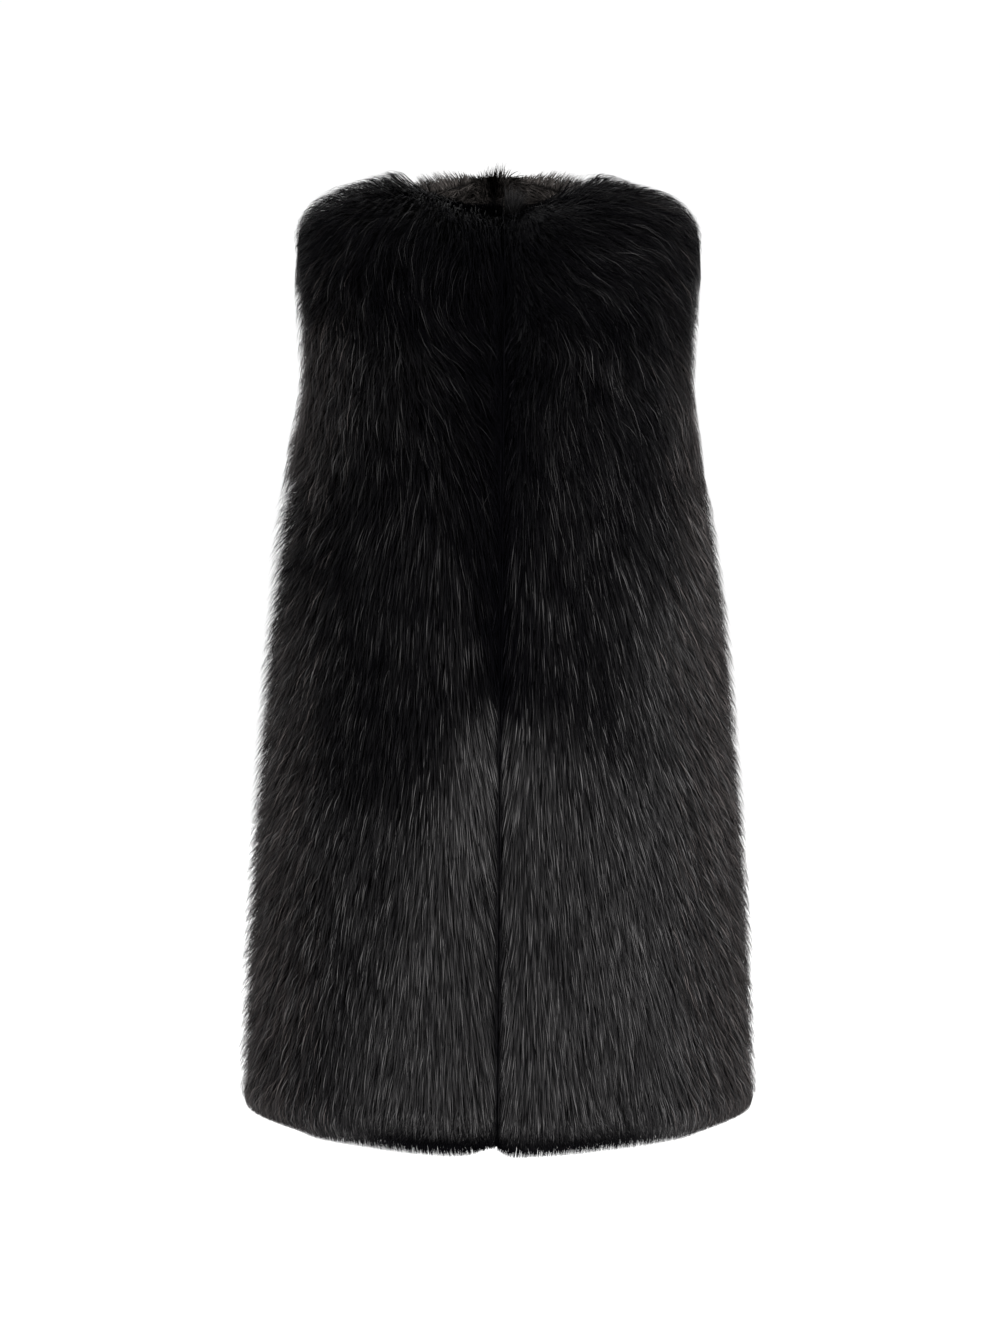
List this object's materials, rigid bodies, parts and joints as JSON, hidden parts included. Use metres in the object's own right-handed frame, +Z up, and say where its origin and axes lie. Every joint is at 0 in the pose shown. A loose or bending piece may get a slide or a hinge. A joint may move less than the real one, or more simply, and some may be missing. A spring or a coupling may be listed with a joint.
{
  "type": "long faux-fur gilet",
  "caption": "Long collarless sleeveless fur gilet, open from neck to hem, hollow and upright as worn, with a fur strip inside the back neck.",
  "frame": {"origin": "midway between the neck ends of the two shoulder seams, on the side line, where the wearer's shoulders hold the garment", "axes": "+Z up, +X towards the wearer's left, -Y out of the front"},
  "size_m": [0.4529, 0.3576, 0.8722],
  "materials": {
    "black_pile": "long glossy directional pile, black above and charcoal towards the hem",
    "neck_pile": "long pile combed sideways, brown-black"
  },
  "bodies": {
    "root": {"front_left": "black_pile", "front_right": "black_pile", "back": "black_pile", "back_neck_facing": "neck_pile"}
  },
  "joints": []
}
